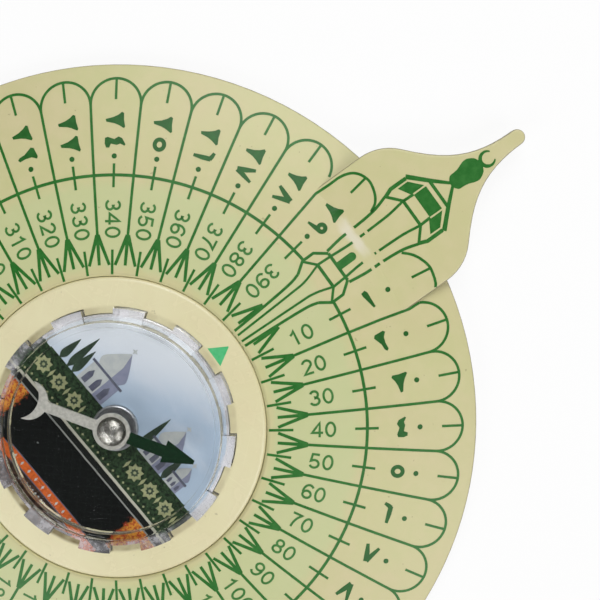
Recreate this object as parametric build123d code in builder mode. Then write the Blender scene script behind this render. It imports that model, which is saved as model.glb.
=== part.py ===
from build123d import *
import os
from math import cos, degrees, radians, sin, sqrt, tan

# Qibla compass: a domed dial with an onion-dome pointer, a turning index ring that holds
# the compass capsule, and a needle on a point. Millimetres. The origin is on the compass
# axis at the table, +Z is up and the pointer lies along +Y.

# Dial plate
disc_radius = 44.5
rim_top = 2.0
rim_lift = 0.3
rim_round = 0.3
shell_wall = 1.8
hub_wall = 2.0
hub_land = 2.0
seat_round = 0.2

# Pointer tab, flat and level, standing above the sloping rim
tab_rise = 1.65
tab_thickness = 1.8
tab_half_width = 9.2
tab_round = 0.28
tab_root_overlap = 1.0
shoulder_inset = 1.0
shoulder_radius = 6.2
shoulder_turn = 49.0
shoulder_handle = 5.0
neck_handle = 6.0
tip_reach = 16.75
tip_radius = 0.97

# Back cover and its screws
rim_band = 6.6
cover_fit = 0.1
cover_thickness = 1.5
cover_chamfer = 0.3
ledge_width = 1.8
screw_count = 3
screw_circle = 26.0
screw_radius = 1.0
screw_length = 4.3
screw_head_radius = 1.9
screw_recess = 0.15
screw_hole_fit = 0.06
screw_tip_room = 0.3
countersink_angle = 90.0
driver_slot_width = 0.45
driver_slot_length = 2.2
driver_slot_depth = 0.6
boss_wall = 1.4
boss_overlap = 0.2

# Capsule: its base, card and lens share a castellated outline
capsule_radius = 15.0
capsule_fit = 0.1
capsule_drop = 0.8
castellation_count = 12
castellation_start = 7.5
castellation_depth = 0.8
castellation_height = 0.7
base_thickness = 1.0
lens_bed = 0.05
lens_wall = 0.45
lens_web = 0.8
lens_window = 0.8
lens_crown = 0.8
lens_step = 1.5
lens_edge_draft = 0.25
lens_edge_round = 0.25
shoulder_width = 0.6

# Index ring and its retaining clip
skirt_wall = 1.4
flange_width = 2.15
flange_thickness = 1.65
ring_rise = 0.55
ring_round = 0.5
running_fit = 0.1
flange_fit = 0.05
pocket_ledge = 2.0
clip_thickness = 0.7
clip_width = 2.1
clip_groove_depth = 0.8
clip_fit = 0.05
clip_end_play = 0.1
clip_opening = 24.0
skirt_lip = 0.4
ring_room = 0.48

# Card, eyelet and pivot
card_thickness = 0.25
eyelet_radius = 2.85
eyelet_bead = 0.55
eyelet_flange = 0.35
eyelet_neck = 1.5
eyelet_neck_fit = 0.04
eyelet_inset = 0.1
pin_radius = 0.5
pin_fit = 0.03
pin_rise = 2.97
pin_tip_radius = 0.06
pin_half_angle = 20.0

# Needle
needle_heading = 56.5
needle_room = 1.95
needle_headroom = 0.3
pivot_drop = 0.65
blade_thickness = 0.25
hub_ring_width = 0.77
arrow_length = 3.85
arrow_half_width = 1.4
arrow_blunt = 0.22
north_half_width = 0.72
south_half_width = 0.65
crescent_setback = 2.25
crescent_radius = 2.4
crescent_thickness = 1.2
crescent_horn_offset = 0.1
cap_wall = 0.5
cap_lip = 0.3
cap_fit = 0.04
cap_side_draft = 0.3
cap_crown = 0.42
crimp_lip = 0.4
crimp_thickness = 0.25
crimp_fit = 0.02
jewel_radius = 0.95
jewel_fit = 0.03
jewel_cup_depth = 0.35
jewel_roof = 0.1
jewel_half_angle = 45.0
jewel_play = 0.03

# Radii that follow from each other, from the capsule outwards and from the rim inwards
pocket_radius = capsule_radius + capsule_fit
ring_bore = pocket_radius - pocket_ledge
skirt_radius = pocket_radius + skirt_wall
ring_radius = skirt_radius + flange_width
groove_radius = skirt_radius - clip_groove_depth
bore_radius = skirt_radius + running_fit
seat_radius = ring_radius + flange_fit
hub_radius = seat_radius + hub_land
ledge_outer = disc_radius - rim_band
ledge_inner = ledge_outer - ledge_width
cover_radius = ledge_outer - cover_fit
boss_radius = screw_radius + boss_wall
gap_radius = capsule_radius - castellation_depth
well_radius = gap_radius + capsule_fit
lens_bore = gap_radius - lens_wall
shoulder_inner = gap_radius - shoulder_width
window_radius = shoulder_inner - lens_edge_draft
window_bore = window_radius - lens_window
cap_bore = jewel_radius + jewel_fit
cap_neck_radius = cap_bore + cap_wall
cap_radius = cap_neck_radius + cap_lip
crimp_radius = cap_neck_radius + crimp_lip
hub_ring_radius = cap_neck_radius + hub_ring_width


def dome_height(radius, inset=0.0):
    """Height of the dial's dome, or of the surface a wall's inset below it."""
    return dome_centre + sqrt((dome_radius - inset) ** 2 - radius**2)


def dome_arc(inner, outer, inset=0.0):
    """Three points of the dome's arc, from the inner radius to the outer."""
    middle = (inner + outer) / 2
    return [(r, dome_height(r, inset)) for r in (inner, middle, outer)]


# Heights that follow from each other, from the back cover up to the lens; the dome then
# runs from the rim to the ring's outer edge
ring_bottom = cover_thickness + ring_room
clip_bottom = ring_bottom + skirt_lip + clip_fit
clip_top = clip_bottom + clip_thickness
hub_bottom = clip_top + clip_end_play
ring_seat = hub_bottom + hub_wall
seat_top = ring_seat + flange_thickness
rim_square = disc_radius**2 + rim_top**2
seat_square = seat_radius**2 + seat_top**2
dome_centre = (rim_square - seat_square) / (2 * (rim_top - seat_top))
dome_radius = sqrt(disc_radius**2 + (rim_top - dome_centre) ** 2)
tab_top = rim_top + tab_rise
capsule_bottom = ring_seat - capsule_drop
base_top = capsule_bottom + base_thickness
card_top = base_top + card_thickness
eyelet_bottom = capsule_bottom + eyelet_inset
pin_tip = card_top + pin_rise
blade_bottom = pin_tip - pivot_drop
blade_top = blade_bottom + blade_thickness
cap_seat = blade_top + crimp_fit
cap_bottom = blade_bottom - crimp_fit - crimp_thickness
jewel_cup_top = pin_tip + jewel_play
jewel_bottom = jewel_cup_top - jewel_cup_depth
jewel_top = jewel_cup_top + jewel_roof
cap_apex = jewel_top + cap_crown
window_apex = cap_apex + needle_headroom + lens_window
window_edge = window_apex - lens_crown
shoulder_height = window_edge - lens_step
lens_step_height = shoulder_height - lens_web
lens_bottom = card_top + lens_bed
block_top = shoulder_height + castellation_height

# Pointer tab: straight sides, convex shoulders and a concave neck up to a round tip
tip_y = disc_radius + tip_reach
crease_radius = sqrt(dome_radius**2 - (tab_top - dome_centre) ** 2)
tab_root = sqrt(crease_radius**2 - tab_half_width**2) - tab_root_overlap
with BuildPart() as pointer_tab:
    with BuildSketch(Plane.XY.offset(tab_top - tab_thickness)):
        with BuildLine():
            root = Line((0, tab_root), (tab_half_width, tab_root))
            side = Line(root @ 1, (tab_half_width, disc_radius - shoulder_inset))
            shoulder = JernArc(side @ 1, side % 1, shoulder_radius, shoulder_turn)
            tip_side = Vector(tip_radius, tip_y - tip_radius)
            lower_handle = (shoulder @ 1) + (shoulder % 1) * shoulder_handle
            upper_handle = tip_side - Vector(0, neck_handle)
            neck = Bezier(shoulder @ 1, lower_handle, upper_handle, tip_side)
            tip = JernArc(neck @ 1, (0, 1), tip_radius, 90)
            Line(tip @ 1, root @ 0)
        make_face()
        mirror(about=Plane.YZ)
    extrude(amount=tab_thickness)
    rim_edges = pointer_tab.edges().group_by(Axis.Z)[-1]
    fillet([e for e in rim_edges if e.center().Y > tab_root + tab_root_overlap / 2], tab_round)

# Dial plate: domed shell with a seat and bore for the ring, a rim band and screw bosses
with BuildPart() as dial_plate:
    with BuildSketch(Plane.XZ):
        with BuildLine():
            Polyline(
                (bore_radius, hub_bottom),
                (bore_radius, ring_seat),
                (seat_radius, ring_seat),
                (seat_radius, seat_top),
            )
            ThreePointArc(*dome_arc(seat_radius, disc_radius))
            Polyline(
                (disc_radius, rim_top),
                (disc_radius, rim_lift),
                (ledge_outer, rim_lift),
                (ledge_outer, cover_thickness),
                (ledge_inner, cover_thickness),
                (ledge_inner, dome_height(ledge_inner, shell_wall)),
            )
            ThreePointArc(*dome_arc(hub_radius, ledge_inner, shell_wall))
            Polyline(
                (hub_radius, dome_height(hub_radius, shell_wall)),
                (hub_radius, hub_bottom),
                (bore_radius, hub_bottom),
            )
        make_face()
    revolve(axis=Axis.Z)
    outer_circles = dial_plate.edges().filter_by(GeomType.CIRCLE)
    fillet(outer_circles.filter_by(lambda e: abs(e.radius - disc_radius) < 0.01), rim_round)
    seat_edges = dial_plate.edges().filter_by(GeomType.CIRCLE)
    seat_edges = seat_edges.filter_by(lambda e: abs(e.radius - seat_radius) < 0.01)
    fillet(seat_edges.sort_by(Axis.Z)[-1], seat_round)
    add(pointer_tab.part)
    boss_top = dome_height(screw_circle - boss_radius, shell_wall) + boss_overlap
    with BuildSketch(Plane.XY.offset(cover_thickness)):
        with PolarLocations(screw_circle, screw_count, start_angle=90):
            Circle(boss_radius)
    extrude(amount=boss_top - cover_thickness)
    pilot_top = screw_recess + screw_length + screw_tip_room
    with BuildSketch(Plane.XY.offset(cover_thickness)):
        with PolarLocations(screw_circle, screw_count, start_angle=90):
            Circle(screw_radius + screw_hole_fit)
    extrude(amount=pilot_top - cover_thickness, mode=Mode.SUBTRACT)

# Back cover: flat disc with countersunk screw holes; its underside rests on the table
head_height = (screw_head_radius - screw_radius) / tan(radians(countersink_angle / 2))
sink_radius = screw_head_radius + screw_recess + screw_hole_fit
with BuildPart() as back_cover:
    with BuildSketch():
        Circle(cover_radius)
    extrude(amount=cover_thickness)
    chamfer(back_cover.faces().sort_by(Axis.Z)[0].edges(), cover_chamfer)
    with Locations(back_cover.faces().sort_by(Axis.Z)[0]):
        with PolarLocations(screw_circle, screw_count, start_angle=-90):
            CounterSinkHole(screw_radius + screw_hole_fit, sink_radius)

# Cover screws: countersunk heads with a cross slot, pointing up into the bosses
with BuildPart() as one_screw:
    with BuildSketch(Plane.XZ):
        with BuildLine():
            Polyline(
                (0, screw_recess),
                (screw_head_radius, screw_recess),
                (screw_radius, screw_recess + head_height),
                (screw_radius, screw_recess + screw_length - screw_radius / 2),
                (screw_radius / 2, screw_recess + screw_length),
                (0, screw_recess + screw_length),
                close=True,
            )
        make_face()
    revolve(axis=Axis.Z)
    with BuildSketch(Plane.XY.offset(screw_recess)):
        Rectangle(driver_slot_length, driver_slot_width)
        Rectangle(driver_slot_width, driver_slot_length)
    extrude(amount=driver_slot_depth, mode=Mode.SUBTRACT)
with BuildPart() as cover_screws:
    with PolarLocations(screw_circle, screw_count, start_angle=90):
        add(one_screw.part)

# Blocks of the capsule's outline are as wide as the gaps between them
block_arc = 180 / castellation_count
notch_slack = degrees(capsule_fit / capsule_radius)


def ring_sector(inner, outer, low, high, arc):
    """A stretch of a square ring about the compass axis, from +X round to an angle."""
    with BuildPart() as sector:
        with BuildSketch(Plane.XZ):
            with Locations((inner, low)):
                Rectangle(outer - inner, high - low, align=(Align.MIN, Align.MIN))
        revolve(axis=Axis.Z, revolution_arc=arc)
    return sector.part


# Index ring: flange on the plate's seat, skirt through the bore, and a well for the capsule
# with a notch for each of its blocks
ring_top = seat_top + ring_rise
ring_notch = ring_sector(gap_radius, pocket_radius, capsule_bottom, ring_top, block_arc + 2 * notch_slack)
with BuildPart() as index_ring:
    with BuildSketch(Plane.XZ):
        with BuildLine():
            Polyline(
                (ring_bore, capsule_bottom),
                (well_radius, capsule_bottom),
                (well_radius, ring_top),
                (ring_radius, seat_top),
                (ring_radius, ring_seat),
                (skirt_radius, ring_seat),
                (skirt_radius, clip_top + clip_fit),
                (groove_radius, clip_top + clip_fit),
                (groove_radius, clip_bottom - clip_fit),
                (skirt_radius, clip_bottom - clip_fit),
                (skirt_radius, ring_bottom),
                (ring_bore, ring_bottom),
                close=True,
            )
        make_face()
    revolve(axis=Axis.Z)
    flange_edges = index_ring.edges().filter_by(GeomType.CIRCLE)
    flange_edges = flange_edges.filter_by(lambda e: abs(e.radius - ring_radius) < 0.01)
    fillet(flange_edges.sort_by(Axis.Z)[-1], ring_round)
    with PolarLocations(0, castellation_count, start_angle=castellation_start - notch_slack):
        add(ring_notch, mode=Mode.SUBTRACT)

# Retaining ring: open spring clip in the skirt's groove, under the plate's hub
with BuildPart() as retaining_ring:
    with BuildSketch(Plane.XZ):
        with Locations((groove_radius + clip_fit, clip_bottom)):
            Rectangle(clip_width, clip_thickness, align=(Align.MIN, Align.MIN))
    revolve(axis=Axis.Z, revolution_arc=360 - clip_opening)

# Capsule base: castellated disc with a hole for the eyelet's neck
base_block = ring_sector(lens_bore, capsule_radius, capsule_bottom, base_top, block_arc)
with BuildPart() as capsule_base:
    with BuildSketch(Plane.XY.offset(capsule_bottom)):
        Circle(gap_radius)
        Circle(eyelet_neck + eyelet_neck_fit, mode=Mode.SUBTRACT)
    extrude(amount=base_thickness)
    with PolarLocations(0, castellation_count, start_angle=castellation_start):
        add(base_block)

# Capsule lens: clear cap on a thin bed of glue, with a castellated wall, a shoulder that its
# blocks stand above and a slightly domed window
lens_sphere = (window_radius**2 + lens_crown**2) / (2 * lens_crown)
lens_centre = window_apex - lens_sphere


def lens_height(radius, inset=0.0):
    """Height of the window's outer face, or of its inner face at the window's thickness."""
    return lens_centre + sqrt((lens_sphere - inset) ** 2 - radius**2)


wall_middle = gap_radius - lens_wall / 2
web_middle = shoulder_height - lens_web / 2
wall_block = ring_sector(wall_middle, capsule_radius, lens_bottom, block_top, block_arc)
shoulder_block = ring_sector(window_radius, capsule_radius, web_middle, block_top, block_arc)
with BuildPart() as capsule_lens:
    with BuildSketch(Plane.XZ):
        with BuildLine():
            Polyline(
                (0, lens_height(0, lens_window)),
                (0, lens_height(0)),
            )
            ThreePointArc(*[(r, lens_height(r)) for r in (0, window_radius / 2, window_radius)])
            Polyline(
                (window_radius, window_edge),
                (shoulder_inner, shoulder_height),
                (gap_radius, shoulder_height),
                (gap_radius, lens_bottom),
                (lens_bore, lens_bottom),
                (lens_bore, lens_step_height),
                (window_bore, lens_step_height),
                (window_bore, lens_height(window_bore, lens_window)),
            )
            ThreePointArc(*[(r, lens_height(r, lens_window)) for r in (window_bore, window_bore / 2, 0)])
        make_face()
    revolve(axis=Axis.Z)
    window_edges = capsule_lens.edges().filter_by(GeomType.CIRCLE)
    window_edges = window_edges.filter_by(lambda e: abs(e.radius - window_radius) < 0.01)
    fillet(window_edges, lens_edge_round)
    with PolarLocations(0, castellation_count, start_angle=castellation_start):
        add(wall_block)
        add(shoulder_block)

# Dial card: thin printed sheet, cut to the outline of the base that it lies on
card_block = ring_sector(lens_bore, capsule_radius, base_top, card_top, block_arc)
with BuildPart() as dial_card:
    with BuildSketch(Plane.XY.offset(base_top)):
        Circle(gap_radius)
        Circle(eyelet_neck + eyelet_neck_fit, mode=Mode.SUBTRACT)
    extrude(amount=card_thickness)
    with PolarLocations(0, castellation_count, start_angle=castellation_start):
        add(card_block)

# Pivot eyelet: clamps the card to the base and holds the pin; its edge is a round bead
bead_radius = eyelet_bead / 2
with BuildPart() as pivot_eyelet:
    with BuildSketch(Plane.XZ):
        with BuildLine():
            Polyline(
                (pin_radius + pin_fit, eyelet_bottom),
                (eyelet_neck, eyelet_bottom),
                (eyelet_neck, card_top),
                (eyelet_radius, card_top),
                (eyelet_radius, card_top + eyelet_flange),
            )
            ThreePointArc(
                (eyelet_radius, card_top + eyelet_flange),
                (eyelet_radius - bead_radius, card_top + eyelet_flange + bead_radius),
                (eyelet_radius - eyelet_bead, card_top + eyelet_flange),
            )
            Polyline(
                (eyelet_radius - eyelet_bead, card_top + eyelet_flange),
                (pin_radius + pin_fit, card_top + eyelet_flange),
                (pin_radius + pin_fit, eyelet_bottom),
            )
        make_face()
    revolve(axis=Axis.Z)

# Pivot pin: turned rod with a fine rounded point
cone_height = (pin_radius - pin_tip_radius) / tan(radians(pin_half_angle))
with BuildPart() as pivot_pin:
    with BuildSketch(Plane.XZ):
        with BuildLine():
            Polyline(
                (0, pin_tip),
                (0, eyelet_bottom),
                (pin_radius, eyelet_bottom),
                (pin_radius, pin_tip - pin_tip_radius - cone_height),
                (pin_tip_radius, pin_tip - pin_tip_radius),
            )
            ThreePointArc(
                (pin_tip_radius, pin_tip - pin_tip_radius),
                (pin_tip_radius * sin(radians(45)), pin_tip - pin_tip_radius * (1 - cos(radians(45)))),
                (0, pin_tip),
            )
        make_face()
    revolve(axis=Axis.Z)

# Needle blade: hub ring, arrow on the north arm and crescent on the south arm
heading = radians(90 - needle_heading)
blade_plane = Plane((0, 0, blade_bottom), x_dir=(cos(heading), sin(heading), 0), z_dir=(0, 0, 1))
arrow_tip = window_bore - needle_room
arrow_base = arrow_tip - arrow_length
crescent_back = arrow_tip - crescent_setback
crescent_centre = crescent_back + crescent_radius
horn_u = crescent_centre + crescent_horn_offset
horn_v_squared = crescent_radius**2 - crescent_horn_offset**2
hollow_depth = horn_u - crescent_back - crescent_thickness
hollow_radius = (horn_v_squared + hollow_depth**2) / (2 * hollow_depth)
hollow_centre = crescent_back + crescent_thickness + hollow_radius
with BuildPart() as needle_blade:
    with BuildSketch(blade_plane):
        with Locations((-crescent_centre, 0)):
            Circle(crescent_radius)
        with Locations((-hollow_centre, 0)):
            Circle(hollow_radius, mode=Mode.SUBTRACT)
        with Locations((-crescent_back - crescent_thickness / 2, 0)):
            Rectangle(crescent_back, south_half_width * 2, align=(Align.MIN, Align.CENTER))
        with BuildLine():
            Polyline(
                (0, north_half_width),
                (arrow_base, north_half_width),
                (arrow_base, arrow_half_width),
                (arrow_tip, arrow_blunt),
                (arrow_tip, -arrow_blunt),
                (arrow_base, -arrow_half_width),
                (arrow_base, -north_half_width),
                (0, -north_half_width),
                close=True,
            )
        make_face()
        Circle(hub_ring_radius)
        Circle(cap_neck_radius + cap_fit, mode=Mode.SUBTRACT)
    extrude(amount=blade_thickness)

# Needle cap: bright dome crimped through the hub ring, hollow for the jewel and the pin
cap_shoulder = cap_radius - cap_side_draft
with BuildPart() as needle_cap:
    with BuildSketch(Plane.XZ):
        with BuildLine():
            Polyline(
                (0, jewel_top),
                (cap_bore, jewel_top),
                (cap_bore, cap_bottom),
                (crimp_radius, cap_bottom),
                (crimp_radius, cap_bottom + crimp_thickness),
                (cap_neck_radius, cap_bottom + crimp_thickness),
                (cap_neck_radius, cap_seat),
                (cap_radius, cap_seat),
                (cap_shoulder, jewel_top),
            )
            RadiusArc(
                (cap_shoulder, jewel_top),
                (0, cap_apex),
                -(cap_shoulder**2 + cap_crown**2) / (2 * cap_crown),
            )
            Line((0, cap_apex), (0, jewel_top))
        make_face()
    revolve(axis=Axis.Z)

# Bearing jewel: small cup in the cap that sits on the pin's point
with BuildPart() as bearing_jewel:
    with BuildSketch(Plane.XZ):
        with BuildLine():
            Polyline(
                (0, jewel_cup_top),
                ((jewel_cup_top - jewel_bottom) * tan(radians(jewel_half_angle)), jewel_bottom),
                (jewel_radius, jewel_bottom),
                (jewel_radius, jewel_top),
                (0, jewel_top),
                close=True,
            )
        make_face()
    revolve(axis=Axis.Z)

pieces = {
    "dial_plate": dial_plate,
    "back_cover": back_cover,
    "cover_screws": cover_screws,
    "index_ring": index_ring,
    "retaining_ring": retaining_ring,
    "capsule_base": capsule_base,
    "capsule_lens": capsule_lens,
    "dial_card": dial_card,
    "pivot_eyelet": pivot_eyelet,
    "pivot_pin": pivot_pin,
    "needle_blade": needle_blade,
    "needle_cap": needle_cap,
    "bearing_jewel": bearing_jewel,
}
os.makedirs("parts", exist_ok=True)
for node, piece in pieces.items():
    piece.part.label = node
    export_step(piece.part, f"parts/{node}.step")
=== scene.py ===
"""Looks of the qibla compass: its print, picture card, clear capsule, needle and studio light."""

import math

import bmesh
import bpy
from mathutils import Matrix, Vector
from mathutils.bvhtree import BVHTree


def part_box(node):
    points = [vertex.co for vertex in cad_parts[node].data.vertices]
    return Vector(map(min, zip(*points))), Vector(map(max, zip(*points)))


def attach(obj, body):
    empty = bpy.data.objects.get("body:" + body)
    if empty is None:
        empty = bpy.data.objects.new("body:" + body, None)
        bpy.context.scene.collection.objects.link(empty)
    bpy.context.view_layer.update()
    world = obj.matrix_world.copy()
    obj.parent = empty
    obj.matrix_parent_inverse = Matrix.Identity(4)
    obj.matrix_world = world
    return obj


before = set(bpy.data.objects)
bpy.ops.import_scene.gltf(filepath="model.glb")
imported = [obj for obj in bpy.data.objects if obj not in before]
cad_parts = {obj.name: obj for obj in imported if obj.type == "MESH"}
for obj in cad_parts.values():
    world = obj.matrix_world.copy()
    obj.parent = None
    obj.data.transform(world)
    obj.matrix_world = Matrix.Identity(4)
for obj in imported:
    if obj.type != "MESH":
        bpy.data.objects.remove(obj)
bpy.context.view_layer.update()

# Sizes below are in millimetres, and bearings in degrees clockwise from the pointer
MM = 0.001

# Places taken from the solids
disc_radius = -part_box("dial_plate")[0].y / MM
ring_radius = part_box("index_ring")[1].x / MM
card_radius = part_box("dial_card")[1].x / MM
eyelet_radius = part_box("pivot_eyelet")[1].x / MM

# Heading of the needle at rest
needle_bearing = 56.5

# Camera
camera_place = (-5.83, 39.86, 150.39)
camera_aim = (0.56, 27.56, 5.0)
picture_up_bearing = -54.03
lens_length = 72.0
sensor_width = 36.0
camera_reach = (5, 20000)

# Dial print
petal_count = 40
petal_step = 360 / petal_count
print_line = 0.33
scale_line = 0.38
tick_line = 0.31
fan_line = 0.36
fan_apex_line = 0.44
petal_arc_radius = 3.11
petal_arc_centre = petal_arc_radius / math.sin(math.radians(petal_step / 2))
petal_top = petal_arc_centre + petal_arc_radius
petal_bow_half = 94
bow_step = 0.4
top_tick_length = 2.6
scale_radius = 30.9
cross_tick = (29.4, 32.3)
seat_fillet = 0.28
long_tick = (ring_radius + seat_fillet, 21.9)
fan_inner = 20.05
fan_apex = 23.7
fan_bearings = (-3.5, 0.0, 3.5)
fan_apex_spread = 0.04
fan_lean = 0.7
border_root = fan_apex - 0.5
border_step = 0.25
western_radius = 25.6
western_height = 1.9
western_pen = 0.15
western_stretch = 1.14
eastern_height = 2.3
eastern_pen = 1.5
eastern_step = 0.35
eastern_two = (35.1, 37.4)
first_digit_shift = {10: -0.3, 20: -0.8, 30: 0.25}
eastern_three_out = (33.7, 36.0, 38.1)
eastern_three_in = (37.6, 35.0, 33.2)
dash_half_width = 4.5
dash_band = (36.5, 39.1)
dash_length = 0.66
dash_slant = 1.3
dash_cut = -0.6
crease_mark = Vector((-1.9, 37.25))
crease_mark_reach = (3.3, 0.95)
crease_gap = 0.3

# Print thickness
ink_lift = 0.022
ink_sink = 0.03
ink_layer = 0.0025
ink_layers = 6
ink_step = 0.9
ink_slope = 0.6
ink_play = 0.02
mitre_limit = 0.5
same_place = 1e-6

# Index mark on the ring
mark_apex = 17.4
mark_base = 15.25
mark_half_width = 1.27
mark_tip = 0.05
mark_rows = 8

# Picture card
card_up_bearing = -3.5
picture_radius = card_radius - 1.3
eyelet_margin = 0.25
rule_width = 0.12
rule_step = 0.12
window_radius = card_radius - 1.45
rim_slope = 0.42


def srgb(red, green, blue):
    """Linear colour of a screen colour given in the range 0 to 255."""
    def linear(part):
        share = part / 255
        return share / 12.92 if share <= 0.04045 else ((share + 0.055) / 1.055) ** 2.4
    return (linear(red), linear(green), linear(blue), 1.0)


def new_object(name, data):
    """An object that holds the data, in the scene."""
    added = bpy.data.objects.new(name, data)
    bpy.context.scene.collection.objects.link(added)
    return added


# Shader nodes

def maths(operation, swapped=False):
    """A method that adds one Math node; swapped puts the other value first."""
    def method(self, other=0.0):
        first, second = (other, self) if swapped else (self, other)
        return self.finish.add("Math", {"operation": operation}, {0: first, 1: second})
    return method


class Value:
    """A shader socket that can stand in a sum: each operator adds one Math node."""

    __add__ = maths("ADD")
    __radd__ = maths("ADD", True)
    __sub__ = maths("SUBTRACT")
    __rsub__ = maths("SUBTRACT", True)
    __mul__ = maths("MULTIPLY")
    __rmul__ = maths("MULTIPLY", True)
    __gt__ = maths("GREATER_THAN")
    __lt__ = maths("LESS_THAN")
    __or__ = maths("MAXIMUM")
    __abs__ = maths("ABSOLUTE")
    sine = maths("SINE")

    def __init__(self, finish, socket):
        self.finish = finish
        self.socket = socket

    def output(self, name):
        """Another output of the same node."""
        return Value(self.finish, self.socket.node.outputs[name])


class Finish:
    """A material or world whose node tree is filled call by call."""

    def __init__(self, owner):
        self.owner = owner
        owner.use_nodes = True
        self.tree = owner.node_tree
        self.tree.nodes.clear()

    def add(self, kind, settings=None, inputs=None, output=0):
        """One shader node: its settings are set first, then its sockets get values or links."""
        node = self.tree.nodes.new("ShaderNode" + kind)
        for name, setting in (settings or {}).items():
            setattr(node, name, setting)
        for name, value in (inputs or {}).items():
            socket = node.inputs[name]
            if isinstance(value, Value):
                self.tree.links.new(value.socket, socket)
            else:
                socket.default_value = value
        return Value(self, node.outputs[output]) if node.outputs else node

    def mix(self, factor, first, second):
        """Mix of two colours."""
        return self.add("Mix", {"data_type": "RGBA"}, {0: factor, 6: first, 7: second}, output=2)

    def blend(self, factor, first, second):
        """Mix of two shaders."""
        return self.add("MixShader", None, {0: factor, 1: first, 2: second})

    def place(self):
        """The piece's own coordinates, in millimetres."""
        metres = self.add("TexCoord", output="Object")
        return self.add("VectorMath", {"operation": "SCALE"}, {0: metres, "Scale": 1 / MM})

    def stretched(self, place, scale, turn=0.0):
        """Coordinates turned about the compass axis, then scaled unevenly."""
        return self.add("Mapping", {"vector_type": "TEXTURE"},
                        {"Vector": place, "Rotation": (0, 0, math.radians(turn)), "Scale": scale})

    def along(self, place, bearing):
        """Distance from the compass axis along a bearing."""
        angle = math.radians(bearing)
        return self.add("VectorMath", {"operation": "DOT_PRODUCT"},
                        {0: place, 1: (math.sin(angle), math.cos(angle), 0)}, output="Value")

    def part(self, vector, name):
        """One part, X, Y or Z, of a vector."""
        return self.add("SeparateXYZ", None, {0: vector}, output=name)

    def radius(self, place):
        """Distance from the compass axis."""
        flat = self.add("VectorMath", {"operation": "MULTIPLY"}, {0: place, 1: (1, 1, 0)})
        return self.add("VectorMath", {"operation": "LENGTH"}, {0: flat}, output="Value")

    def noise(self, place, scale, detail=3.0, roughness=0.5):
        return self.add("TexNoise", None,
                        {"Vector": place, "Scale": scale, "Detail": detail, "Roughness": roughness})

    def rise(self, value, low, high):
        """0 below low, 1 above high, and a smooth rise between."""
        return self.add("MapRange", {"interpolation_type": "SMOOTHSTEP"},
                        {"Value": value, "From Min": low, "From Max": high})

    def bump(self, height, distance, strength=1.0):
        """Normal of a relief; distance is its depth in millimetres."""
        return self.add("Bump", None,
                        {"Height": height, "Distance": distance * MM, "Strength": strength})

    def principled(self, **sockets):
        names = {name.replace("_", " "): value for name, value in sockets.items()}
        return self.add("BsdfPrincipled", None, names)

    def surface(self, shader, kind="OutputMaterial"):
        """Links the shader to the output, and returns the finished material or world."""
        self.add(kind, None, {"Surface": shader})
        return self.owner


def new_finish(name):
    """An empty finish for a new material."""
    return Finish(bpy.data.materials.new(name))


def hair_scratches(finish, place, turns, fineness, level):
    """Thin straight scratches in a few directions, 1 on a scratch."""
    total = 0.0
    for turn in turns:
        lengthwise = finish.stretched(place, (9.0, 0.16 / fineness, 9.0), turn)
        streak = finish.noise(lengthwise, 1.0, 1.0)
        total = finish.rise(streak, level, level + 0.05) + total
    return total


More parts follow.
